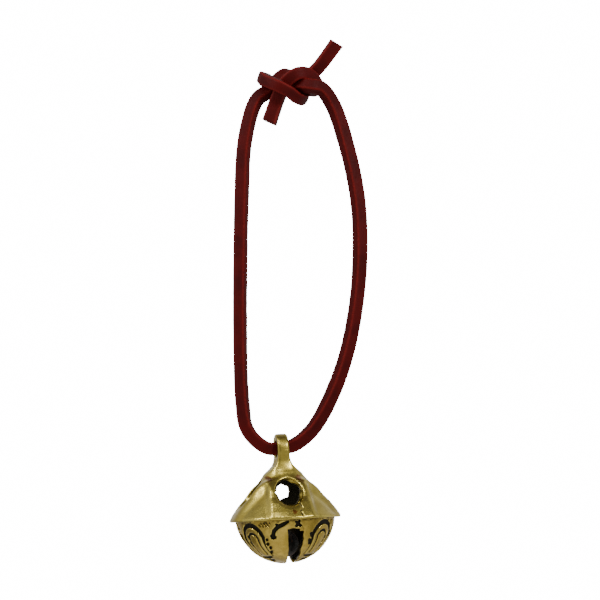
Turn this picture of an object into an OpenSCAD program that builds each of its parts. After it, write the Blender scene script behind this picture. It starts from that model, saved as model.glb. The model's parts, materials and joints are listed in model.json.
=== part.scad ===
// A single sleigh bell on a knotted leather lace, hanging from the top of its loop.
// Millimetres, +Z up. The origin is where a hook bears, at the inside top of the loop.

/* [Bell] */
// Outside radius of the lower casting
bowl_r = 18; // [17.6:0.1:18.2]
// Wall thickness of both castings
wall = 2; // [1.6:0.1:2.1]
// Radius of the rim that overhangs the lower casting
rim_r = 19.4; // [19:0.1:20]
// Depth of the seam between the castings below the eye
seam_drop = 25.2; // [25:0.1:25.6]
// Depth of the lower casting's centre below the eye
bowl_drop = 22.8; // [22.4:0.1:23.2]

/* [Sound holes and slots] */
// Diameter of each of the four sound holes
hole_d = 9.2; // [8.4:0.1:9.4]
// Depth of the sound holes below the eye
hole_drop = 15.6; // [15.5:0.1:16.4]
// Width of the raised collar around each sound hole
collar_w = 15; // [13:0.1:15.2]
// Width of each slot at its top
slot_top_w = 5.9; // [5:0.1:6.2]
// Width of each slot where the two slots cross
slot_foot_w = 3.5; // [2.5:0.1:4.5]
// Depth of the slots' tops below the eye
slot_drop = 28.4; // [27.8:0.1:29.4]

/* [Eye] */
// Bore that the lace runs through
eye_bore_d = 6; // [5.4:0.1:6.2]
// Outside radius of the eye
eye_r = 5.5; // [5.2:0.1:5.6]

/* [Pellet] */
// Diameter of the loose iron pellet
pellet_d = 10; // [9.6:0.1:10.6]

/* [Lace] */
// Diameter across the corners of the eight-sided lace
lace_d = 4.3; // [3.6:0.1:4.3]

/* [Hidden] */
$fn = 96;
over = 1;                       // overshoot of every cutting solid
gap = 0.3;                      // clearance between the pellet and the wall that it rests on
relief_depth = 0.45;            // depth of the horseshoe grooves in the four petals
relief_arch_drop = 31;          // depth of the centre of the horseshoe's arch
relief_foot_drop = 37.5;        // depth of the horseshoe's open ends
relief_outer_r = 5.2;           // outer radius of the arch
relief_w = 1.2;                 // width of the groove
relief_turn = -6;               // how far the petals' pattern is turned from midway between the slots
rim_h = 0.8;                    // height of the rim's upright edge
collar_shoulder_drop = 11.6;    // depth of the collars' shoulders
collar_arch_r = 5.7;            // radius of the arch that each collar's top makes over its hole
cavity_top_drop = 10;           // depth of the roof of the cavity
inner_r = bowl_r - wall;
pellet_r = pellet_d / 2;

// The eye's centre, and how the bell hangs: leaning in the plane of the loop, and turned about itself
eye = [-9.6, 0, -128.5];
lean = -3.2;
turn = 10;

// Radius of a sphere's section at a distance from its centre
function section_r(r, h) = sqrt(r * r - h * h);
seam_h = seam_drop - bowl_drop;
seam_inner_r = section_r(inner_r, seam_h);

// The lower casting's centre in the row's frame
bowl_centre = eye + bowl_drop * [-sin(lean), 0, -cos(lean)];

// The lace's route from the lower tail, through the knot, down the left side, through the eye,
// up the right side and through the knot again to the upper tail
LACE_ROUTE = [
    [-14, -0.5, -10.5], [-11, -1, -2], [-8.5, -3, 3], [-4, -4.5, 6.5], [0, -2, 6.5],
    [3, 2, 3.5], [2, 6, 3], [-0.5, 8, 4], [-3.5, 8, 6], [-6, 5, 7],
    [-8.5, 2, 7], [-11, 1, 5], [-14, 1, 1.5], [-18.5, 0.5, -2], [-22.5, 0, -15],
    [-24, 0, -39], [-23.5, 0, -112], [-21.5, -0.5, -122], [-15, -0.5, -128], [-9.5, 0, -128.2],
    [-5, 0.5, -127], [1.5, 0.5, -121.5], [9, 0, -108], [15, 0, -89.5], [18.5, 0, -64],
    [18, 0, -39], [14, 0, -19], [9, -0.5, -4], [4.5, -3.5, 1.5], [1, -5, 2],
    [-2, -3, 2.5], [-6, 1.5, 3], [-8, 5, 2.5], [-11.5, 6, 4], [-15, 4.5, 5.5],
    [-16, 0.5, 6], [-14.5, -4, 4], [-10, -7, 1.5], [-7, -6, 0], [-4.5, -3.5, -1.5],
    [-2, 1, -1], [-1.5, 3, 2], [-1.5, 3.5, 5.5], [3.5, 2.5, 10], [10.5, 0.5, 19]
];
lace_sides = 8;
lace_steps = 2;                 // rings on each span of the route

// A centripetal spline through the route: the point at fraction u of the span that starts at point i
function route_end(i) =
    let (last = len(LACE_ROUTE) - 1)
    i < 0 ? 2 * LACE_ROUTE[0] - LACE_ROUTE[1]
    : i > last ? 2 * LACE_ROUTE[last] - LACE_ROUTE[last - 1]
    : LACE_ROUTE[i];
function blend(a, b, ta, tb, t) = ((tb - t) * a + (t - ta) * b) / (tb - ta);
function route_point(i, u) =
    let (
        p0 = route_end(i - 1),
        p1 = route_end(i),
        p2 = route_end(i + 1),
        p3 = route_end(i + 2),
        t1 = sqrt(norm(p1 - p0)),
        t2 = t1 + sqrt(norm(p2 - p1)),
        t3 = t2 + sqrt(norm(p3 - p2)),
        t = t1 + (t2 - t1) * u,
        a1 = blend(p0, p1, 0, t1, t),
        a2 = blend(p1, p2, t1, t2, t),
        a3 = blend(p2, p3, t2, t3, t)
    )
    blend(blend(a1, a2, 0, t2, t), blend(a2, a3, t1, t3, t), t1, t2, t);

lace_line = concat(
    [for (i = [0 : len(LACE_ROUTE) - 2]) for (k = [0 : lace_steps - 1]) route_point(i, k / lace_steps)],
    [LACE_ROUTE[len(LACE_ROUTE) - 1]]
);

// Unit vectors along the line, and across it: each crossing vector is the last one carried along
function unit(v) = v / norm(v);
function along(i) =
    let (last = len(lace_line) - 1)
    unit(lace_line[min(i + 1, last)] - lace_line[max(i - 1, 0)]);
function carried(v, t) = unit(v - (v * t) * t);
lace_across = [
    for (i = 0, v = carried([0, 1, 0], along(0)); i < len(lace_line);
         i = i + 1, v = carried(v, along(min(i, len(lace_line) - 1)))) v
];

function lace_ring(i) =
    let (v = lace_across[i], w = cross(along(i), v))
    [for (k = [0 : lace_sides - 1])
        let (a = 360 * (k + 0.5) / lace_sides)
        lace_line[i] + lace_d / 2 * (cos(a) * v + sin(a) * w)];

// Places a solid drawn about the eye, with -Z down the bell's axis, where the bell hangs
module hung() {
    translate(eye)
        rotate([0, lean, 0])
            rotate([0, 0, turn])
                children();
}

// The cone of the upper casting, with its neck and its rim
module dome_cone() {
    rotate_extrude()
        polygon([
            [0, -4], [2.8, -4.6], [3.2, -5.8], [4.4, -7.3], [6.2, -8.4],
            [rim_r - 0.4, -seam_drop + 1.5], [rim_r, -seam_drop + rim_h], [rim_r, -seam_drop],
            [0, -seam_drop]
        ]);
}

// One raised collar about a sound hole: a sloping block with upright flanks and an arched top
module collar() {
    intersection() {
        rotate([90, 0, 0])
            linear_extrude(collar_w, center = true)
                polygon([
                    [0, -9], [8.4, -9], [9.4, -10.8], [12, -14.8], [13.5, -17.2],
                    [15.4, -19.2], [17.6, -22.5], [17.6, -seam_drop + 1], [0, -seam_drop + 1]
                ]);
        union() {
            translate([0, 0, -hole_drop])
                rotate([0, 90, 0])
                    cylinder(r = collar_arch_r, h = bowl_r);
            translate([0, -bowl_r / 2, -seam_drop])
                cube([bowl_r, bowl_r, seam_drop - collar_shoulder_drop]);
        }
    }
}

// The eye: a thin upright ring whose foot spreads into the neck
module eye_plate() {
    intersection() {
        rotate([90, 0, 0])
            linear_extrude(2 * bowl_r, center = true)
                polygon([
                    [-6.2, -9], [-5, -7.6], [-3.2, -5.8], [-2.3, -2.7], [-2.1, 0], [-1.9, 3], [-1.3, 6],
                    [1.3, 6], [1.9, 3], [2.1, 0], [2.3, -2.7], [3.2, -5.8], [5, -7.6], [6.2, -9]
                ]);
        rotate([90, 0, 90])
            linear_extrude(2 * bowl_r, center = true)
                union() {
                    circle(r = eye_r);
                    polygon([[-5.3, -1.4], [-5.3, -5], [-6.1, -9], [6.1, -9], [5.3, -5], [5.3, -1.4]]);
                }
    }
}

// The cavity of the upper casting, which opens onto the bowl
module dome_cavity() {
    rotate_extrude()
        polygon([
            [0, -cavity_top_drop], [4.7, -cavity_top_drop], [seam_inner_r, -seam_drop + wall],
            [seam_inner_r, -seam_drop - over], [0, -seam_drop - over]
        ]);
}

module dome() {
    color([0.65, 0.57, 0.31])
        hung()
            difference() {
                union() {
                    dome_cone();
                    eye_plate();
                    for (side = [0 : 3])
                        rotate([0, 0, 90 * side])
                            collar();
                }
                dome_cavity();
                for (side = [0, 1])
                    rotate([90, 0, 90 * side])
                        translate([0, -hole_drop, 0])
                            cylinder(d = hole_d, h = 3 * bowl_r, center = true);
                rotate([0, 90, 0])
                    cylinder(d = eye_bore_d, h = 2 * bowl_r, center = true);
            }
}

// One slot's outline: a flat top above sides that close in towards the foot
module slot_outline() {
    foot = -bowl_drop - bowl_r - over;
    polygon([
        [-slot_top_w / 2, -slot_drop], [-slot_foot_w / 2, foot],
        [slot_foot_w / 2, foot], [slot_top_w / 2, -slot_drop]
    ]);
}

// The horseshoe groove's outline on one petal
module horseshoe_outline() {
    difference() {
        union() {
            translate([0, -relief_arch_drop])
                circle(r = relief_outer_r);
            polygon([
                [-relief_outer_r, -relief_arch_drop], [-relief_outer_r + 1.5, -relief_foot_drop],
                [relief_outer_r - 1.5, -relief_foot_drop], [relief_outer_r, -relief_arch_drop]
            ]);
        }
        translate([0, -relief_arch_drop])
            circle(r = relief_outer_r - relief_w);
        polygon([
            [-relief_outer_r + relief_w, -relief_arch_drop],
            [-relief_outer_r + relief_w + 1.5, -relief_foot_drop - over],
            [relief_outer_r - relief_w - 1.5, -relief_foot_drop - over],
            [relief_outer_r - relief_w, -relief_arch_drop]
        ]);
    }
}

module bowl() {
    color([0.61, 0.53, 0.25])
        hung()
            difference() {
                translate([0, 0, -bowl_drop])
                    difference() {
                        sphere(r = bowl_r);
                        sphere(r = inner_r);
                        translate([0, 0, bowl_r - seam_h])
                            cube(2 * bowl_r, center = true);
                    }
                for (side = [0, 1])
                    rotate([90, 0, 90 * side])
                        linear_extrude(3 * bowl_r, center = true)
                            slot_outline();
                for (side = [0 : 3])
                    rotate([90, 0, 45 + relief_turn + 90 * side])
                        intersection() {
                            linear_extrude(2 * bowl_r)
                                horseshoe_outline();
                            translate([0, -bowl_drop, 0])
                                difference() {
                                    sphere(r = bowl_r + over);
                                    sphere(r = bowl_r - relief_depth);
                                }
                        }
            }
}

// The loose pellet, resting at the lowest point of the bowl
module pellet() {
    color([0.25, 0.24, 0.23])
        translate(bowl_centre - [0, 0, inner_r - pellet_r - gap])
            sphere(r = pellet_r);
}

// The lace, one continuous strip from tail to tail
module lace() {
    rings = len(lace_line);
    color([0.31, 0.07, 0.07])
        polyhedron(
            points = [for (i = [0 : rings - 1]) each lace_ring(i)],
            faces = concat(
                [[for (k = [0 : lace_sides - 1]) k]],
                [for (i = [0 : rings - 2]) for (k = [0 : lace_sides - 1])
                    let (a = i * lace_sides + k, b = i * lace_sides + (k + 1) % lace_sides)
                    each [[a, a + lace_sides, b], [b, a + lace_sides, b + lace_sides]]],
                [[for (k = [lace_sides - 1 : -1 : 0]) (rings - 1) * lace_sides + k]]
            )
        );
}

dome();
bowl();
pellet();
lace();
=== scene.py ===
"""The looks of a cast brass sleigh bell on a knotted leather lace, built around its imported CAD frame."""

import json
import math

import bmesh
import bpy
import numpy as np
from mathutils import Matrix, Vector


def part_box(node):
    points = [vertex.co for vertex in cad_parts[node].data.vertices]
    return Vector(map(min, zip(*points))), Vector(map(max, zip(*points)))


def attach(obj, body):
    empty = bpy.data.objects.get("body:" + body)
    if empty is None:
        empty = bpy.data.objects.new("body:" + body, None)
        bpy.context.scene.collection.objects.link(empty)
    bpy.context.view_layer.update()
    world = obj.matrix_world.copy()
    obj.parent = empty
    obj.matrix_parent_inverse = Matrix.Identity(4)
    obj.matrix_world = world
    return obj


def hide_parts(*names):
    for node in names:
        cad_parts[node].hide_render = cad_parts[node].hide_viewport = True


MM = 0.001

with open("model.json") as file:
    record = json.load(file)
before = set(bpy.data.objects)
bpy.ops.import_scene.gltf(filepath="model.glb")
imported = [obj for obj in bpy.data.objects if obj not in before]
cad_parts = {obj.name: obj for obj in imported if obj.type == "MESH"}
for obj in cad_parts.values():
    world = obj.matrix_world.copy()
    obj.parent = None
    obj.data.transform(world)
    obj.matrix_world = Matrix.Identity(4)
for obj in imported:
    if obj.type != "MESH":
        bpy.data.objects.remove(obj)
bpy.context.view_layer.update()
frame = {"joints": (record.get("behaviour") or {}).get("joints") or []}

# ---------------------------------------------------------------- sizes, in millimetres
EYE = np.array(next(j for j in frame["joints"] if j["name"] == "bell_swing")["pos_m"]) / MM
LEAN = math.radians(-3.2)  # the bell's lean in the plane of the loop
TURN = math.radians(10)  # the bell's turn about its own axis

BOWL_R = 18.0
BOWL_Z = -22.8  # the bowl's centre, from the eye
WALL = 2.0
SEAM_Z = -25.2
HOLE_Z = -15.6
HOLE_R = 4.6
EYE_BORE_R = 3.0
SLOT_TOP_Z = -28.4
SLOT_TOP_W = 5.9
SLOT_FOOT_W = 3.5
PETALS = [44, 39, 39, 33]  # where each petal's pattern is, in degrees from the slot on its left
STEP = 0.2  # spacing of the grids that the castings are worked out on

LACE_SIDE = 4.7
LACE_ROUTE = [
    (-14, -0.5, -10.5), (-11, -1, -2), (-8.5, -3, 3), (-4, -4.5, 6.5), (0, -2, 6.5),
    (3, 2, 3.5), (2, 6, 3), (-0.5, 8, 4), (-3.5, 8, 6), (-6, 5, 7),
    (-8.5, 2, 7), (-11, 1, 5), (-14, 1, 1.5), (-18.5, 0.5, -2), (-22.5, 0, -15),
    (-24, 0, -39), (-23.5, 0, -112), (-21.5, -0.5, -122), (-15, -0.5, -128), (-9.5, 0, -128.2),
    (-5, 0.5, -127), (1.5, 0.5, -121.5), (9, 0, -108), (15, 0, -89.5), (18.5, 0, -64),
    (18, 0, -39), (14, 0, -19), (9, -0.5, -4), (4.5, -3.5, 1.5), (1, -5, 2),
    (-2, -3, 2.5), (-6, 1.5, 3), (-8, 5, 2.5), (-11.5, 6, 4), (-15, 4.5, 5.5),
    (-16, 0.5, 6), (-14.5, -4, 4), (-10, -7, 1.5), (-7, -6, 0), (-4.5, -3.5, -1.5),
    (-2, 1, -1), (-1.5, 3, 2), (-1.5, 3.5, 5.5), (3.5, 2.5, 10), (10.5, 0.5, 19),
]
EYE_POINT = 19  # the route's point in the eye's bore
# How far the lace is rolled about its own line, in degrees, at some of the route's points
LACE_ROLL = [(0, 40), (6, 40), (11, 30), (16, 18), (19, 0), (22, 30), (26, 24), (30, 45), (37, 45), (44, 40)]


# ---------------------------------------------------------------- camera
def make_camera():
    """A long lens at the bell's height, looking up a little so that the whole loop is in view."""
    data = bpy.data.cameras.new("camera")
    data.lens = 135
    data.sensor_width = 36
    camera = bpy.data.objects.new("camera", data)
    bpy.context.scene.collection.objects.link(camera)
    camera.location = Vector((-2.9, -805, -153)) * MM
    aim = Vector((-2.9, 0, -75)) * MM
    camera.rotation_euler = (aim - camera.location).to_track_quat("-Z", "Y").to_euler()
    data.clip_start = 0.01
    data.clip_end = 20
    bpy.context.scene.camera = camera


make_camera()


# ---------------------------------------------------------------- noise and meshes
def lattice(cells, seed):
    """Smooth values from -1 to 1 on a small lattice that repeats."""
    return np.random.default_rng(seed).uniform(-1, 1, (cells, cells, cells)).astype(np.float32)


def noise(values, points, size):
    """Smoothly interpolated lattice values at points, with one cell of the lattice to size."""
    cells = values.shape[0]
    scaled = np.asarray(points, np.float64) / size
    low = np.floor(scaled).astype(int)
    f = scaled - low
    f = f * f * (3 - 2 * f)
    total = np.zeros(len(scaled))
    for corner in range(8):
        offset = np.array([corner & 1, corner >> 1 & 1, corner >> 2 & 1])
        index = (low + offset) % cells
        weight = np.prod(np.where(offset == 1, f, 1 - f), axis=1)
        total += weight * values[index[:, 0], index[:, 1], index[:, 2]]
    return total


def grid_noise(values, axes, size):
    """The same noise on a whole grid, given the grid's three axes."""
    cells = values.shape[0]
    found = values
    for number, axis in enumerate(axes):
        scaled = axis / size
        low = np.floor(scaled).astype(int)
        f = (scaled - low).astype(np.float32)
        f = f * f * (3 - 2 * f)
        shape = [1, 1, 1]
        shape[number] = len(axis)
        f = f.reshape(shape)
        found = np.take(found, low % cells, number) * (1 - f) + np.take(found, (low + 1) % cells, number) * f
    return found


def make_mesh(name, points_mm, quads, smooth=True, caps=()):
    """A mesh object from points in millimetres and an array of quads, with some larger faces if needed."""
    mesh = bpy.data.meshes.new(name)
    faces = [list(map(int, q)) for q in quads] + [list(map(int, c)) for c in caps]
    mesh.from_pydata((np.asarray(points_mm) * MM).tolist(), [], faces)
    mesh.polygons.foreach_set("use_smooth", [smooth] * len(quads) + [False] * len(caps))
    mesh.update()
    made = bpy.data.objects.new(name, mesh)
    bpy.context.scene.collection.objects.link(made)
    return made


def add_values(made, name, values):
    """Gives each point of a mesh a value that its material can read."""
    attribute = made.data.attributes.new(name, "FLOAT", "POINT")
    attribute.data.foreach_set("value", np.asarray(values, np.float32))


# ---------------------------------------------------------------- lace
def spline(points, spacing):
    """Points about spacing apart on a centripetal spline, and the fractional point number of each."""
    p = np.array(points, float)
    p = np.vstack([2 * p[0] - p[1], p, 2 * p[-1] - p[-2]])
    line, numbers = [], []
    for i in range(1, len(p) - 2):
        p0, p1, p2, p3 = p[i - 1 : i + 3]
        t1 = math.sqrt(np.linalg.norm(p1 - p0))
        t2 = t1 + math.sqrt(np.linalg.norm(p2 - p1))
        t3 = t2 + math.sqrt(np.linalg.norm(p3 - p2))
        count = max(2, round(np.linalg.norm(p2 - p1) / spacing))
        for k in range(count):
            t = t1 + (t2 - t1) * k / count
            a1 = ((t1 - t) * p0 + t * p1) / t1
            a2 = ((t2 - t) * p1 + (t - t1) * p2) / (t2 - t1)
            a3 = ((t3 - t) * p2 + (t - t2) * p3) / (t3 - t2)
            b1 = ((t2 - t) * a1 + t * a2) / t2
            b2 = ((t3 - t) * a2 + (t - t1) * a3) / (t3 - t1)
            line.append(((t2 - t) * b1 + (t - t1) * b2) / (t2 - t1))
            numbers.append(i - 1 + k / count)
    line.append(p[-2])
    numbers.append(len(points) - 1)
    return np.array(line), np.array(numbers)


def crossing_vectors(line, start):
    """Unit tangents, and unit vectors across the line.

    The second are carried both ways from the ring start, where they face front.
    """
    tangent = np.gradient(line, axis=0)
    tangent /= np.linalg.norm(tangent, axis=1, keepdims=True)
    across = np.zeros_like(line)
    front = np.array([0.0, -1.0, 0.0])
    front -= front @ tangent[start] * tangent[start]
    across[start] = front / np.linalg.norm(front)
    for step, stop in ((1, len(line)), (-1, -1)):
        for i in range(start + step, stop, step):
            v = across[i - step]
            v = v - v @ tangent[i] * tangent[i]
            across[i] = v / np.linalg.norm(v)
    return tangent, across


def lace_section(count):
    """Points and corner weights round the lace's rounded square, of unit half side."""
    a = 2 * np.pi * (np.arange(count) + 0.5) / count
    power = 2 / 5.5
    x = np.sign(np.cos(a)) * np.abs(np.cos(a)) ** power
    y = np.sign(np.sin(a)) * np.abs(np.sin(a)) ** power
    corner = np.clip(np.abs(np.sin(2 * a)), 0, 1) ** 3
    return np.stack([x, y], 1), corner


def make_lace():
    """One square-cut lace: a smooth grain side, a rough flesh side, and soft uneven edges."""
    line, numbers = spline(LACE_ROUTE, 0.5)
    start = int(np.argmin(np.abs(numbers - EYE_POINT)))
    tangent, across = crossing_vectors(line, start)
    other = np.cross(tangent, across)
    length = np.concatenate([[0], np.cumsum(np.linalg.norm(np.diff(line, axis=0), axis=1))])
    roll = np.radians(np.interp(numbers, [n for n, _ in LACE_ROLL], [d for _, d in LACE_ROLL]))
    sides = 40
    section, corner = lace_section(sides)
    wide = LACE_SIDE / 2 * (1 + 0.04 * np.sin(length / 23) + 0.025 * np.sin(length / 7.3 + 1))
    wide *= 1 + 0.1 * np.exp(-np.minimum(length, length[-1] - length) / 9)
    thick = LACE_SIDE / 2 * (0.95 + 0.03 * np.sin(length / 17 + 2))
    x = wide[:, None] * section[None, :, 0]
    y = thick[:, None] * section[None, :, 1]
    turned_x = x * np.cos(roll)[:, None] - y * np.sin(roll)[:, None]
    turned_y = x * np.sin(roll)[:, None] + y * np.cos(roll)[:, None]
    offset = turned_x[..., None] * across[:, None] + turned_y[..., None] * other[:, None]
    radial = offset / np.linalg.norm(offset, axis=2, keepdims=True)
    # the flesh side is the one whose section y is lowest: it is rough, and its two edges are ragged
    flesh = np.clip((-section[:, 1] - 0.55) / 0.4, 0, 1)
    ring = np.broadcast_to(length[:, None], x.shape)
    place = np.stack([ring.ravel(), x.ravel(), y.ravel()], 1)
    coarse = noise(lattice(16, 3), place, 1.6).reshape(x.shape)
    fine = noise(lattice(24, 4), place, 0.55).reshape(x.shape)
    fuzz = flesh[None, :]
    rough = 0.035 * coarse + (0.012 + 0.05 * fuzz) * fine + 0.06 * fuzz * corner[None, :] * coarse
    points = line[:, None] + offset + radial * rough[..., None]
    # the ends are knife-cut, a little askew
    for end, sign in ((0, 1), (-1, -1)):
        points[end] += tangent[end] * (0.25 * section[:, 0:1] * sign)
    rings = len(line)
    index = np.arange(rings * sides).reshape(rings, sides)
    after = np.roll(index, -1, axis=1)
    quads = np.stack([index[:-1], after[:-1], after[1:], index[1:]], -1).reshape(-1, 4)
    caps = [index[0][::-1], index[-1]]
    lace = make_mesh("leather_lace", points.reshape(-1, 3), quads, caps=caps)
    add_values(lace, "edge", np.broadcast_to(corner, x.shape).ravel())
    add_values(lace, "flesh", np.broadcast_to(flesh, x.shape).ravel())
    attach(lace, "lace")
    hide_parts("lace")
    return lace


lace = make_lace()


# ---------------------------------------------------------------- the castings' fields
def smooth_max(a, b, k):
    """The greater of two fields, blended over k where they meet."""
    h = np.maximum(k - np.abs(a - b), 0) / k
    return np.maximum(a, b) + h * h * (k / 4)


def smooth_min(a, b, k):
    """The lesser of two fields, blended over k where they meet."""
    return -smooth_max(-a, -b, k)


def ease(low, high, value):
    """0 below low, 1 above high, and smooth between."""
    t = np.clip((value - low) / (high - low), 0, 1)
    return t * t * (3 - 2 * t)


def stroke(x, y, points, half_width):
    """Distance outside a pen stroke through points, for fields x and y. half_width is one value per point."""
    found = np.full(np.broadcast(x, y).shape, 99.0, np.float32)
    for (ax, ay), (bx, by), wa, wb in zip(points[:-1], points[1:], half_width[:-1], half_width[1:]):
        dx, dy = bx - ax, by - ay
        t = np.clip(((x - ax) * dx + (y - ay) * dy) / (dx * dx + dy * dy), 0, 1)
        d = np.hypot(x - ax - t * dx, y - ay - t * dy) - (wa + t * (wb - wa))
        found = np.minimum(found, d)
    return found


def profile_field(outline, radii, z):
    """Signed distance to a closed outline in the plane of radius and height, at every pair of radii and z."""
    r, h = np.meshgrid(radii, z, indexing="ij")
    nearest = np.full(r.shape, 99.0)
    inside = np.zeros(r.shape, bool)
    for (ax, ay), (bx, by) in zip(outline, outline[1:] + outline[:1]):
        dx, dy = bx - ax, by - ay
        t = np.clip(((r - ax) * dx + (h - ay) * dy) / (dx * dx + dy * dy), 0, 1)
        nearest = np.minimum(nearest, np.hypot(r - ax - t * dx, h - ay - t * dy))
        if ay != by:
            inside ^= ((ay > h) != (by > h)) & (r < ax + (h - ay) * dx / dy)
    return np.where(inside, -nearest, nearest)


def turned_field(outline, grid):
    """The field of an outline turned about the bell's axis. The outline may cross to negative radii."""
    spacing = 0.05
    table = profile_field(outline, np.arange(0, 30, spacing), grid["z"]).astype(np.float32)
    place = grid["r"][:, :, 0] / spacing
    low = place.astype(int)
    f = (place - low)[..., None].astype(np.float32)
    return table[low] * (1 - f) + table[low + 1] * f


def make_grid(lowest, highest):
    """Axes and coordinate fields of a grid about the eye, in the bell's own directions."""
    x, y, z = (np.arange(a, b, STEP).astype(np.float32) for a, b in zip(lowest, highest))
    grid = {"x": x, "y": y, "z": z, "X": x[:, None, None], "Y": y[None, :, None], "Z": z[None, None, :]}
    grid["r"] = np.hypot(grid["X"], grid["Y"])
    return grid


def side_coordinates(grid, side):
    """Distance out, and to the right as seen from outside, of one of the four sides. Side 0 is the front."""
    x, y = grid["X"], grid["Y"]
    return [(-y, x), (x, y), (y, -x), (-x, -y)][side]


DOME_OUTLINE = [
    (-3, -4.0), (2.4, -4.2), (3.1, -5.9), (4.3, -7.4), (6.2, -8.7), (18.8, -23.6), (19.35, -24.3),
    (19.4, -24.8), (19.1, -25.2), (-3, -25.2),
]
CAVITY_OUTLINE = [(-3, -10), (4.7, -10), (15.8, -23.2), (15.8, -30), (-3, -30)]
COLLAR_FACE = [
    (-9, 6.6), (-10.8, 8.3), (-12.5, 10.0), (-14.8, 12.0),
    (-17.2, 13.5), (-19.2, 15.4), (-22.5, 17.6), (-25, 18.6),
]
COLLAR_HALF_W = 7.5
CRACK = [(3.0, -19.6), (3.4, -21.2), (2.7, -22.6), (3.3, -24.0)]
STAINS = [(-6.2, -10.4, 1.0), (4.5, -10.5, 1.1), (0.6, -22.6, 0.8)]  # (across, height, size) on the front
EYE_HALF_W = [(-9, 6.2), (-7.4, 4.6), (-5.8, 3.1), (-4.4, 2.5), (-2.7, 2.15), (0, 2.1), (3, 2.15), (6, 2.2)]


def lookup(pairs, z):
    """Interpolates listed (height, value) pairs over a field of heights."""
    pairs = sorted(pairs)
    return np.interp(z, [p[0] for p in pairs], [p[1] for p in pairs]).astype(np.float32)


def eye_field(grid):
    """The eye: a thin upright ring that spreads into the neck, with every edge worn round."""
    y, z = grid["Y"], grid["Z"]
    ring = np.hypot(y, z) - 5.5
    foot = np.maximum(np.abs(y) - (5.2 + 0.9 * ease(-4, -9, z)), z + 1)
    outline = smooth_min(ring, foot, 0.8)
    body = smooth_max(np.abs(grid["X"]) - lookup(EYE_HALF_W, z), outline, 1.0)
    body = smooth_max(body, grid["r"] - lookup([(-9.5, 6.7), (-7.5, 6.2)], z), 1.0)
    return smooth_max(body, -9.5 - z, 0.5)


def collar_field(grid, side):
    """One raised block about a sound hole: a sloping face, rounded upright flanks and an arched top."""
    out, across = side_coordinates(grid, side)
    z = grid["Z"]
    slope = 0.82
    face = (out - lookup(COLLAR_FACE, z)) * slope
    block = smooth_max(np.abs(across) - COLLAR_HALF_W + 0.05 * (z + 16), z + 11.5, 1.6)
    arch = np.hypot(across, z - HOLE_Z) - 5.5
    outline = smooth_min(block, arch, 1.2)
    block = smooth_max(smooth_max(face, outline, 2.2 if side in (0, 2) else 4.0), -24.2 - z, 0.3)
    return np.maximum(block, 2 - out)


def hole_field(grid, side):
    """One sound hole: round and bevelled outside, narrowed inside by the rough flash of the casting."""
    out, across = side_coordinates(grid, side)
    z = grid["Z"]
    inward = lookup(COLLAR_FACE, z) - out
    depth = ease(0.5, 2.6, inward)
    shift = (-0.75 if side == 2 else -0.35) * depth
    angle = np.arctan2(z - HOLE_Z, across - shift)
    ragged = 0.28 * np.sin(3 * angle + 1.7 * side + 0.4) + 0.17 * np.sin(5 * angle + side)
    ragged = ragged + 0.1 * np.sin(9 * angle)
    ragged = ragged + 0.3 * np.cos(2 * (angle + 0.76))
    flash = 2.3 if side == 2 else 0.55
    radius = HOLE_R + 0.25 - (flash - ragged) * depth + 0.6 * ease(0.5, -0.7, inward)
    hole = np.hypot(across - shift, z - HOLE_Z - 0.3 * (side == 2)) - radius
    return np.maximum(hole, 3 - out)


def dome_field(grid):
    """The upper casting."""
    z = grid["Z"]
    solid = turned_field(DOME_OUTLINE, grid)
    for side in range(4):
        solid = smooth_min(solid, collar_field(grid, side), 1.7 if side in (0, 2) else 2.2)
    solid = smooth_min(solid, eye_field(grid), 2.4)
    axes = (grid["x"], grid["y"], grid["z"])
    solid = solid + 0.05 * grid_noise(lattice(12, 11), axes, 4.3)
    solid = solid + 0.015 * grid_noise(lattice(24, 12), axes, 1.5)
    solid = smooth_max(solid, -turned_field(CAVITY_OUTLINE, grid), 0.3)
    for side in range(4):
        solid = smooth_max(solid, -hole_field(grid, side), 0.9)
    bore = EYE_BORE_R - np.hypot(grid["Y"], z)
    solid = smooth_max(solid, np.where(z > -5, bore, -9), 1.0)
    # a casting crack runs from the front hole down to the rim
    out, across = side_coordinates(grid, 0)
    crack = stroke(across, z, CRACK, [0.2, 0.12, 0.16, 0.12])
    solid = solid + 0.3 * (1 - ease(0, 0.25, crack)) * (out > 5)
    return smooth_max(solid, SEAM_Z - z, 0.25)


def horseshoe_depth(across, z):
    """Depth of one petal's relief.

    A broad groove runs round a raised band, with a thin one inside and strokes at the foot.
    """
    foot = -37.6
    squeeze = 1 + 0.075 * (-31 - z) * (z < -31)
    v = across * squeeze
    outer = np.abs(np.where(z > -31, np.hypot(v, z + 31), np.abs(v)) - 4.5)
    width = 0.3 + 0.42 * ease(-35, -28.5, z)
    groove = (1 - ease(width - 0.15, width + 0.2, outer)) * (z > foot)
    inner = np.abs(np.where(z > -31.6, np.hypot(v, z + 31.6), np.abs(v)) - 2.2)
    thin = (1 - ease(0.25, 0.55, inner)) * (z > foot + 0.6)
    strokes = stroke(v, z, [(-3.6, foot - 0.2), (0, foot - 0.45), (3.4, foot - 0.1)], [0.1, 0.3, 0.1])
    strokes = np.minimum(strokes, stroke(v, z, [(-1.8, foot - 1.5), (2.2, foot - 1.3)], [0.25, 0.1]))
    return np.maximum(np.maximum(0.95 * groove, 0.6 * thin), 0.4 * (1 - ease(0, 0.3, strokes)))


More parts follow.
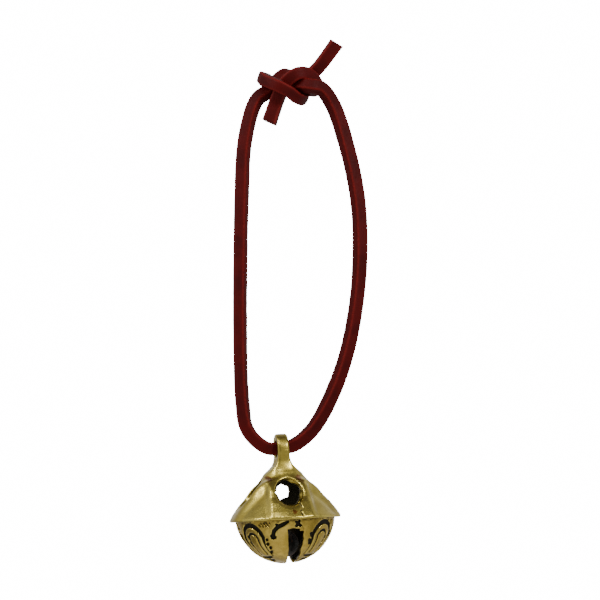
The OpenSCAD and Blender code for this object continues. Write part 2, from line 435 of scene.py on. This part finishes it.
def sprig_depth(across, z):
    """Depth of the small leaf above each slot, with a nick beside it."""
    leaf = stroke(
        across, z,
        [(-2.0, -25.9), (-3.6, -26.7), (-5.4, -27.5), (-6.7, -28.8), (-7.0, -30.2), (-6.3, -31.4)],
        [0.2, 0.45, 0.5, 0.45, 0.3, 0.15],
    )
    barb = stroke(across, z, [(-5.2, -27.2), (-6.0, -26.6)], [0.3, 0.1])
    loop = stroke(across, z, [(-7.6, -30.4), (-7.0, -31.4), (-6.2, -31.0)], [0.15, 0.25, 0.15])
    leaf = np.minimum(np.minimum(leaf, barb), loop)
    nick = stroke(across, z, [(0.9, -26.0), (1.6, -26.8), (2.6, -27.5)], [0.15, 0.35, 0.25])
    nick = np.minimum(nick, stroke(across, z, [(2.1, -25.7), (1.6, -26.8), (0.9, -27.5)], [0.15, 0.3, 0.2]))
    hatch = np.abs(np.mod(across + 0.6 * z, 0.9) - 0.45)
    band = (1 - ease(0.12, 0.3, hatch)) * (np.abs(across + 9.8) < 1.9) * (np.abs(z + 26.6) < 0.9)
    dots = stroke(across, z, [(6.6, -30.5), (6.7, -31.1)], [0.45, 0.35])
    dots = np.minimum(dots, stroke(across, z, [(6.0, -32.6), (5.9, -33.8)], [0.4, 0.25]))
    for spot in ((-9.0, -31.6, 0.2), (-8.6, -33.2, 0.3), (-7.6, -34.4, 0.22), (-7.0, -36.0, 0.28)):
        dots = np.minimum(dots, stroke(across, z, [spot[:2], (spot[0] + 0.2, spot[1] - 0.5)], [spot[2], 0.1]))
    deep = 1 - ease(0, 0.35, np.minimum(leaf, nick))
    return np.maximum(np.maximum(0.85 * deep, 0.6 * (1 - ease(0, 0.3, dots))), 0.3 * band)


def relief_depth(grid):
    """How deep the pattern on the bowl is, over a whole grid."""
    z = grid["Z"]
    depth = np.zeros(np.broadcast(grid["X"], grid["Y"], z).shape, np.float32)
    for side in range(4):
        out, across = side_coordinates(grid, side)
        turn = math.radians(PETALS[side])
        diagonal_out = math.cos(turn) * out + math.sin(turn) * across
        diagonal = math.cos(turn) * across - math.sin(turn) * out
        depth = np.maximum(depth, np.where(diagonal_out > 2, horseshoe_depth(diagonal, z), 0))
        depth = np.maximum(depth, np.where(out > 2, sprig_depth(across, z), 0))
    return depth


def slot_field(grid, side):
    """The slot of one side: flat-topped, narrowing to the foot, with one wavy edge."""
    out, across = side_coordinates(grid, side)
    across = across - 0.9 * (side == 0)
    z = grid["Z"]
    down = np.clip((SLOT_TOP_Z - z) / (SLOT_TOP_Z - BOWL_Z + BOWL_R), 0, 1)
    half = (SLOT_TOP_W + (SLOT_FOOT_W - SLOT_TOP_W) * down) / 2
    wave = 0.22 * np.sin(1.1 * z + side) + 0.1 * np.sin(2.7 * z + 2 * side)
    right = across - half - wave * 0.7 + 0.5 * ease(-37, -40, z)
    left = -across - half - 0.25 * wave
    slot = np.maximum(np.maximum(right, left), z - SLOT_TOP_Z + 0.15 * np.sin(1.7 * across + side))
    tab = np.maximum(np.abs(across - 2.1) - 0.75, SLOT_TOP_Z - 0.95 - z)
    slot = np.maximum(slot, -tab)
    return np.maximum(slot, -out)


def bowl_field(grid):
    """The lower casting."""
    z = grid["Z"]
    distance = np.sqrt(grid["r"] ** 2 + (z - BOWL_Z) ** 2)
    axes = (grid["x"], grid["y"], grid["z"])
    uneven = 0.09 * grid_noise(lattice(12, 21), axes, 3.7) + 0.05 * grid_noise(lattice(24, 22), axes, 1.2)
    outer = distance - BOWL_R + 0.08 + uneven + relief_depth(grid)
    solid = smooth_max(outer, BOWL_R - WALL - distance, 0.3)
    solid = smooth_max(solid, z - SEAM_Z - 0.2, 0.2)
    for side in range(4):
        solid = smooth_max(solid, -slot_field(grid, side), 0.5)
    return solid


# ---------------------------------------------------------------- meshes from fields
def sample(field, place):
    """A grid field's value at places counted in grid steps, between the grid's points."""
    low = np.clip(place.astype(int), 0, np.array(field.shape) - 2)
    f = place - low
    total = 0
    for corner in range(8):
        offset = np.array([corner & 1, corner >> 1 & 1, corner >> 2 & 1])
        index = low + offset
        weight = np.prod(np.where(offset == 1, f, 1 - f), axis=1)
        total = total + weight * field[index[:, 0], index[:, 1], index[:, 2]]
    return total


def surface_of(field):
    """Vertices, in grid steps, and quads of a field's zero surface, by surface nets."""
    solid = field < 0
    shape = np.array(field.shape)
    strides = np.array([shape[1] * shape[2], shape[2], 1])
    cells, places, rings = [], [], []
    for axis in range(3):
        a = [slice(None)] * 3
        b = [slice(None)] * 3
        a[axis] = slice(0, -1)
        b[axis] = slice(1, None)
        found = np.argwhere(solid[tuple(a)] != solid[tuple(b)])
        step = np.eye(3, dtype=int)[axis]
        f0 = field[tuple(found.T)]
        f1 = field[tuple((found + step).T)]
        place = found + step * (f0 / (f0 - f1))[:, None]
        one, two = np.eye(3, dtype=int)[(axis + 1) % 3], np.eye(3, dtype=int)[(axis + 2) % 3]
        around = [found - one - two, found - two, found, found - one]
        ids = np.stack([c @ strides for c in around], 1)
        ids[f0 > 0] = ids[f0 > 0][:, ::-1]
        cells.append(ids.ravel())
        places.append(np.repeat(place, 4, axis=0))
        rings.append(ids)
    names, numbers = np.unique(np.concatenate(cells), return_inverse=True)
    places = np.concatenate(places)
    count = np.bincount(numbers)
    vertices = np.stack([np.bincount(numbers, places[:, k]) / count for k in range(3)], 1)
    quads = np.searchsorted(names, np.concatenate(rings))
    return vertices, quads


def onto_surface(field, vertices):
    """Moves vertices onto the zero surface along its gradient."""
    for _ in range(3):
        value = sample(field, vertices)
        slope = np.stack([
            sample(field, vertices + 0.5 * e) - sample(field, vertices - 0.5 * e) for e in np.eye(3)
        ], 1)
        steepness = np.maximum(np.sum(slope * slope, axis=1), 0.2 * STEP * STEP)
        move = -value[:, None] * slope / steepness[:, None]
        size = np.linalg.norm(move, axis=1, keepdims=True)
        vertices = vertices + move * np.minimum(1, 0.4 / np.maximum(size, 1e-9))
    return vertices


def blurred(field, reach):
    """The mean of a field over a box that reaches so many steps each way."""
    for axis in range(3):
        pad = [(0, 0)] * 3
        pad[axis] = (reach + 1, reach)
        total = np.cumsum(np.pad(field, pad, mode="edge"), axis=axis, dtype=np.float64)
        width = 2 * reach + 1
        high = np.take(total, range(width, total.shape[axis]), axis)
        low = np.take(total, range(0, total.shape[axis] - width), axis)
        field = ((high - low) / width).astype(np.float32)
    return field


def hung(points):
    """Points about the eye, in the bell's own directions, placed where the bell hangs."""
    ct, st, cl, sl = math.cos(TURN), math.sin(TURN), math.cos(LEAN), math.sin(LEAN)
    turned = np.array([[ct, -st, 0], [st, ct, 0], [0, 0, 1]])
    leaned = np.array([[cl, 0, sl], [0, 1, 0], [-sl, 0, cl]])
    return points @ (leaned @ turned).T + EYE


def make_casting(name, node, slot, field_of, lowest, highest, marks_of):
    """A casting's mesh from its field, with the values that its patina needs."""
    grid = make_grid(lowest, highest)
    field = field_of(grid).astype(np.float32)
    vertices, quads = surface_of(field)
    vertices = onto_surface(field, vertices)
    hollow = -sample(blurred(np.clip(field, -1.2, 1.2), 3), vertices)
    wide_hollow = -sample(blurred(np.clip(field, -2, 2), 8), vertices)
    points = vertices * STEP + np.array(lowest)
    casting = make_mesh(name, hung(points), quads)
    add_values(casting, "hollow", hollow)
    add_values(casting, "wide_hollow", wide_hollow)
    for key, values in marks_of(points).items():
        add_values(casting, key, values)
    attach(casting, "bell")
    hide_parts(node)
    return casting


def points_as_grid(p):
    """Points in the form that the fields' functions read."""
    return {"X": p[:, 0], "Y": p[:, 1], "Z": p[:, 2]}


def dome_marks(p):
    """Where the dome is inside its cavity, cracked, and stained."""
    r = np.hypot(p[:, 0], p[:, 1])
    roof = np.interp(-p[:, 2], [10, 23.2, 26], [4.7, 15.8, 15.8])
    inside = (1 - ease(0.15, 0.7, r - roof)) * (p[:, 2] < -9.7)
    out, across = side_coordinates(points_as_grid(p), 0)
    crack = stroke(across, p[:, 2], CRACK, [0.2, 0.12, 0.16, 0.12])
    stain = np.zeros(len(p))
    for centre, height, size in STAINS:
        stain = np.maximum(stain, np.exp(-((across - centre) ** 2 + (p[:, 2] - height) ** 2) / size**2))
    return {"inside": inside, "ink_and_rim_shade": 0.3 * (1 - ease(0, 0.25, crack)) * (out > 5), "stain": stain * (out > 0)}


def bowl_marks(p):
    """Where the bowl is inside its cavity, how deep its pattern is, and where a painted shade band lies just
    under the dome's rim.
    """
    r = np.sqrt(p[:, 0] ** 2 + p[:, 1] ** 2 + (p[:, 2] - BOWL_Z) ** 2)
    inside = 1 - ease(BOWL_R - WALL + 0.2, BOWL_R - WALL + 1.0, r)
    # painted shade: a band at the top of the bowl, just under the dome's rim, is darkened as the rim's shadow
    ink_and_rim_shade = np.maximum(relief_depth(points_as_grid(p)), 0.2 * ease(-27.2, -25.6, p[:, 2]))
    return {"inside": inside, "ink_and_rim_shade": ink_and_rim_shade, "stain": np.zeros(len(p))}


# The boxes, about the eye, in which each casting's surface is searched for
DOME_BOX = ((-20.4, -20.4, -26), (20.4, 20.4, 6.6))
BOWL_BOX = ((-18.6, -18.6, -41.6), (18.6, 18.6, -24.2))
dome = make_casting("dome_casting", "dome", "dome_brass", dome_field, *DOME_BOX, dome_marks)
bowl = make_casting("bowl_casting", "bowl", "bowl_brass", bowl_field, *BOWL_BOX, bowl_marks)


# ---------------------------------------------------------------- pellet
def make_pellet():
    """A rough iron ball with a moulding line, in its CAD solid's place."""
    low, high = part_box("pellet")
    centre = (np.array(low) + np.array(high)) / 2 / MM
    radius = (high[0] - low[0]) / 2 / MM
    data = bpy.data.meshes.new("iron_pellet")
    pellet = bpy.data.objects.new("iron_pellet", data)
    bpy.context.scene.collection.objects.link(pellet)
    shape = bmesh.new()
    bmesh.ops.create_icosphere(shape, subdivisions=6, radius=1)
    shape.to_mesh(data)
    shape.free()
    way = np.array([v.co for v in data.vertices], float)
    bumps = 0.05 * noise(lattice(12, 31), way * radius, 1.7)
    bumps = bumps + 0.03 * noise(lattice(24, 32), way * radius, 0.5)
    seam = 0.06 * np.exp(-((way @ np.array([0.3, 0.2, 0.933]) * radius / 0.25) ** 2))
    place = centre + way * (radius - 0.1 + bumps + seam)[:, None]
    data.vertices.foreach_set("co", (place * MM).astype(np.float32).ravel())
    data.polygons.foreach_set("use_smooth", [True] * len(data.polygons))
    data.update()
    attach(pellet, "pellet")
    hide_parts("pellet")
    return pellet


pellet = make_pellet()


# ---------------------------------------------------------------- materials
class Nodes:
    """A material's nodes, made by short calls that return sockets."""

    def __init__(self, name):
        self.material = bpy.data.materials.new(name)
        self.material.use_nodes = True
        self.tree = self.material.node_tree
        self.shader = self.tree.nodes["Principled BSDF"]
        self.place = self.add("ShaderNodeTexCoord").outputs["Object"]

    def add(self, kind, **settings):
        node = self.tree.nodes.new(kind)
        for key, value in settings.items():
            setattr(node, key, value)
        return node

    def join(self, value, socket):
        """Sets a socket to a number or colour, or links another socket to it."""
        if isinstance(value, bpy.types.NodeSocket):
            self.tree.links.new(value, socket)
        else:
            socket.default_value = value

    def value(self, name):
        """A value that the mesh's points carry."""
        return self.add("ShaderNodeAttribute", attribute_name=name).outputs["Fac"]

    def noise(self, per_mm, detail=4.0, roughness=0.6, distortion=0.0, stretch=None):
        """Noise with so many features to the millimetre."""
        node = self.add("ShaderNodeTexNoise")
        node.inputs["Scale"].default_value = per_mm / MM
        node.inputs["Detail"].default_value = detail
        node.inputs["Roughness"].default_value = roughness
        node.inputs["Distortion"].default_value = distortion
        place = self.place
        if stretch:
            mapping = self.add("ShaderNodeMapping")
            mapping.inputs["Scale"].default_value = stretch
            self.join(self.place, mapping.inputs["Vector"])
            place = mapping.outputs["Vector"]
        self.join(place, node.inputs["Vector"])
        return node.outputs["Fac"]

    def math(self, operation, a, b=0.0):
        node = self.add("ShaderNodeMath", operation=operation)
        self.join(a, node.inputs[0])
        self.join(b, node.inputs[1])
        return node.outputs[0]

    def span(self, value, low, high, to_low=0.0, to_high=1.0):
        """Maps low..high smoothly to to_low..to_high."""
        node = self.add("ShaderNodeMapRange", interpolation_type="SMOOTHSTEP")
        for number, setting in enumerate((value, low, high, to_low, to_high)):
            self.join(setting, node.inputs[number])
        return node.outputs[0]

    def mix(self, share, a, b):
        """Mixes two colours."""
        node = self.add("ShaderNodeMix", data_type="RGBA")
        self.join(share, node.inputs[0])
        for value, socket in ((a, node.inputs[6]), (b, node.inputs[7])):
            self.join((*value, 1) if isinstance(value, tuple) else value, socket)
        return node.outputs[2]

    def bump(self, height, distance_mm, strength=1.0, normal=None):
        node = self.add("ShaderNodeBump")
        node.inputs["Distance"].default_value = distance_mm * MM
        node.inputs["Strength"].default_value = strength
        self.join(height, node.inputs["Height"])
        if normal:
            self.join(normal, node.inputs["Normal"])
        return node.outputs["Normal"]

    def finish(self, color, roughness, normal, metallic=0.0, **sockets):
        self.join(color, self.shader.inputs["Base Color"])
        self.join(roughness, self.shader.inputs["Roughness"])
        self.join(normal, self.shader.inputs["Normal"])
        self.join(metallic, self.shader.inputs["Metallic"])
        for key, value in sockets.items():
            self.shader.inputs[key.replace("_", " ")].default_value = value
        return self.material


def linear(red, green, blue):
    """A colour given as 0 to 255 values, in the shader's linear terms."""
    shares = [c / 255 for c in (red, green, blue)]
    return tuple(((c + 0.055) / 1.055) ** 2.4 if c > 10 / 255 else c / 12.92 for c in shares)


def brass(name, clean, tarnished, patina_from):
    """Cast brass: bright on worn edges, dull on flats, blackened in recesses and inside, and darkened by
    painted shade under the dome's rim.
    """
    n = Nodes(name)
    hollow, wide, inside = n.value("hollow"), n.value("wide_hollow"), n.value("inside")
    cloud = n.noise(0.16, 5)
    mottle = n.noise(0.9, 6, 0.65)
    speck = n.noise(3.2, 4, 0.7)
    uneven = n.math("SUBTRACT", mottle, 0.5)
    color = n.mix(n.span(cloud, 0.38, 0.62), clean, tarnished)
    color = n.mix(n.span(mottle, 0.5, 0.75, 0, 0.35), color, linear(104, 84, 26))
    stain = n.span(n.math("ADD", n.value("stain"), n.math("MULTIPLY", uneven, 1.2)), 0.3, 0.5)
    color = n.mix(n.math("MULTIPLY", stain, 0.8), color, linear(112, 50, 22))
    worn = n.span(n.math("ADD", hollow, n.math("MULTIPLY", uneven, 0.08)), -0.10, -0.22)
    color = n.mix(n.math("MULTIPLY", worn, 0.35), color, linear(206, 190, 104))
    grime = n.span(n.math("ADD", hollow, n.math("MULTIPLY", uneven, 0.12)), *patina_from)
    film = n.math("MULTIPLY", n.span(wide, 0.02, 0.35), n.span(mottle, 0.3, 0.7, 0.15, 0.6))
    color = n.mix(film, color, linear(70, 58, 20))
    # the black fill of the relief and the crack, plus the painted shade band on the bowl under the dome's rim
    ink_and_rim_shade = n.span(n.math("ADD", n.value("ink_and_rim_shade"), n.math("MULTIPLY", uneven, 0.6)), 0.12, 0.34)
    black = n.math("MAXIMUM", n.math("MAXIMUM", grime, ink_and_rim_shade), n.math("MULTIPLY", inside, 0.97))
    color = n.mix(black, color, linear(32, 28, 16))
    metallic = n.math("SUBTRACT", 1.0, n.math("MULTIPLY", black, 0.25))
    rough = n.math("ADD", n.span(cloud, 0.35, 0.65, 0.2, 0.32), n.span(speck, 0.3, 0.7, 0.0, 0.08))
    rough = n.math("ADD", rough, n.math("MULTIPLY", black, 0.35))
    rough = n.math("SUBTRACT", rough, n.math("MULTIPLY", worn, 0.07))
    normal = n.bump(mottle, 0.06, 0.35)
    normal = n.bump(speck, 0.02, 0.35, normal)
    scratch = n.noise(1.4, 3, 0.5, 0.0, (1, 1, 14))
    normal = n.bump(scratch, 0.012, 0.35, normal)
    return n.finish(color, rough, normal, metallic)


def iron(name):
    """Dark oxidised iron, with rust in its pits."""
    n = Nodes(name)
    grain = n.noise(1.6, 5, 0.65)
    rust = n.span(n.noise(0.6, 4, 0.6, 0.5), 0.56, 0.68)
    color = n.mix(n.span(grain, 0.35, 0.65), linear(38, 36, 35), linear(62, 58, 55))
    color = n.mix(n.math("MULTIPLY", rust, 0.7), color, linear(84, 48, 30))
    rough = n.math("ADD", n.span(grain, 0.3, 0.7, 0.5, 0.68), n.math("MULTIPLY", rust, 0.2))
    metallic = n.math("SUBTRACT", 0.7, n.math("MULTIPLY", rust, 0.6))
    return n.finish(color, rough, n.bump(grain, 0.08, 0.7), metallic)


def leather(name):
    """Oxblood latigo leather: waxy grain, edges painted lighter as rubbed wear and as a painted highlight,
    and a matt flesh side.
    """
    n = Nodes(name)
    edge, flesh = n.value("edge"), n.value("flesh")
    cloud = n.noise(0.12, 4)
    grain = n.noise(1.5, 5, 0.6)
    pore = n.add("ShaderNodeTexVoronoi", feature="SMOOTH_F1")
    pore.inputs["Scale"].default_value = 3.2 / MM
    n.join(n.place, pore.inputs["Vector"])
    fibre = n.noise(2.6, 6, 0.75)
    color = n.mix(n.span(cloud, 0.35, 0.65), linear(72, 6, 6), linear(58, 4, 4))
    color = n.mix(n.span(grain, 0.5, 0.8, 0, 0.5), color, linear(46, 3, 2))
    # the corners are painted lighter: partly rubbed wear, partly a painted highlight along the edges
    rubbed_and_highlit_edges = n.math("MULTIPLY", edge, n.span(grain, 0.3, 0.6, 0.2, 0.75))
    color = n.mix(rubbed_and_highlit_edges, color, linear(116, 28, 25))
    color = n.mix(n.math("MULTIPLY", flesh, n.span(fibre, 0.35, 0.7, 0.1, 0.6)), color, linear(74, 11, 9))
    rough = n.math("ADD", n.span(grain, 0.3, 0.7, 0.5, 0.64), n.math("MULTIPLY", flesh, 0.2))
    normal = n.bump(pore.outputs["Distance"], 0.05, 0.35)
    normal = n.bump(grain, 0.10, 0.5, normal)
    normal = n.bump(n.math("MULTIPLY", fibre, n.math("ADD", flesh, 0.15)), 0.16, 0.8, normal)
    return n.finish(color, rough, normal, Specular_IOR_Level=0.08)


dome.data.materials.append(brass("dome_brass", linear(186, 168, 84), linear(162, 144, 64), (0.12, 0.26)))
bowl.data.materials.append(brass("bowl_brass", linear(180, 154, 72), linear(154, 130, 54), (0.05, 0.16)))
pellet.data.materials.append(iron("pellet_iron"))
lace.data.materials.append(leather("lace_leather"))


# ---------------------------------------------------------------- stage
def make_area_light(name, place, aim, size, power, color=(1, 1, 1)):
    """A soft rectangular light, placed and aimed in millimetres."""
    data = bpy.data.lights.new(name, "AREA")
    data.shape = "RECTANGLE"
    data.size, data.size_y = size[0] * MM, size[1] * MM
    data.energy = power
    data.color = color
    lamp = bpy.data.objects.new(name, data)
    bpy.context.scene.collection.objects.link(lamp)
    lamp.location = Vector(place) * MM
    lamp.rotation_euler = (Vector(aim) * MM - lamp.location).to_track_quat("-Z", "Y").to_euler()


# The light tent's bright sides: the way to each, the cosines between which it fades in, and its strength
TENT_SIDES = [
    ((-0.9, -0.35, 0.25), 0.45, 0.8, 1.05),
    ((0.72, 0.66, 0.2), 0.35, 0.8, 1.1),
    ((0, 1, 0), 0.3, 0.7, 1.0),
    ((0.1, -0.4, -0.9), 0.25, 0.8, 1.35),
    ((0.6, -0.7, -0.35), 0.65, 0.95, 0.8),
]
TENT_DARK = 0.24       # what the tent gives between its bright sides
GROUND_WHITE = 16      # the plain ground that only the camera sees, strong enough to come out white


def make_world():
    """A light tent that is bright at the sides and behind, and dark in front, where the camera looks in."""
    world = bpy.data.worlds.new("studio")
    world.use_nodes = True
    tree = world.node_tree
    back = tree.nodes["Background"]
    out = tree.nodes["World Output"]

    def add(kind, *values, **settings):
        node = tree.nodes.new(kind)
        for key, value in settings.items():
            setattr(node, key, value)
        for number, value in enumerate(values):
            if isinstance(value, bpy.types.NodeSocket):
                tree.links.new(value, node.inputs[number])
            else:
                node.inputs[number].default_value = value
        return node.outputs

    place = add("ShaderNodeTexCoord")["Generated"]

    def toward(direction, low, high, strength):
        """Light from about one direction: 0 where its cosine is low, strength where it is high."""
        cosine = add("ShaderNodeVectorMath", place, direction, operation="DOT_PRODUCT")["Value"]
        return add("ShaderNodeMapRange", cosine, low, high, 0.0, strength, interpolation_type="SMOOTHSTEP")[0]

    light = toward(*TENT_SIDES[0])
    for other in [toward(*side) for side in TENT_SIDES[1:]]:
        light = add("ShaderNodeMath", light, other, operation="MAXIMUM")[0]
    light = add("ShaderNodeMath", light, TENT_DARK, operation="MAXIMUM")[0]
    cloth = tree.nodes.new("ShaderNodeTexNoise")
    cloth.inputs["Scale"].default_value = 2.2
    cloth.inputs["Detail"].default_value = 1.0
    tree.links.new(place, cloth.inputs["Vector"])
    folds = add("ShaderNodeMapRange", cloth.outputs["Fac"], 0.35, 0.65, 0.55, 1.0)[0]
    tree.links.new(add("ShaderNodeMath", light, folds, operation="MULTIPLY")[0], back.inputs["Strength"])
    back.inputs["Color"].default_value = (1.0, 0.99, 0.97, 1)
    plain = tree.nodes.new("ShaderNodeBackground")
    plain.inputs["Color"].default_value = (1, 1, 1, 1)
    plain.inputs["Strength"].default_value = GROUND_WHITE
    seen = tree.nodes.new("ShaderNodeLightPath").outputs["Is Camera Ray"]
    mixed = add("ShaderNodeMixShader", seen, back.outputs[0], plain.outputs[0])
    tree.links.new(mixed[0], out.inputs["Surface"])
    bpy.context.scene.world = world


make_world()
make_area_light("key", (420, -520, 260), (-8, 0, -120), (160, 260), 4)
make_area_light("left", (-450, -210, 230), (-8, 0, -140), (50, 300), 1.5)
make_area_light("top", (-60, -430, 420), (-8, 0, -100), (160, 160), 1)
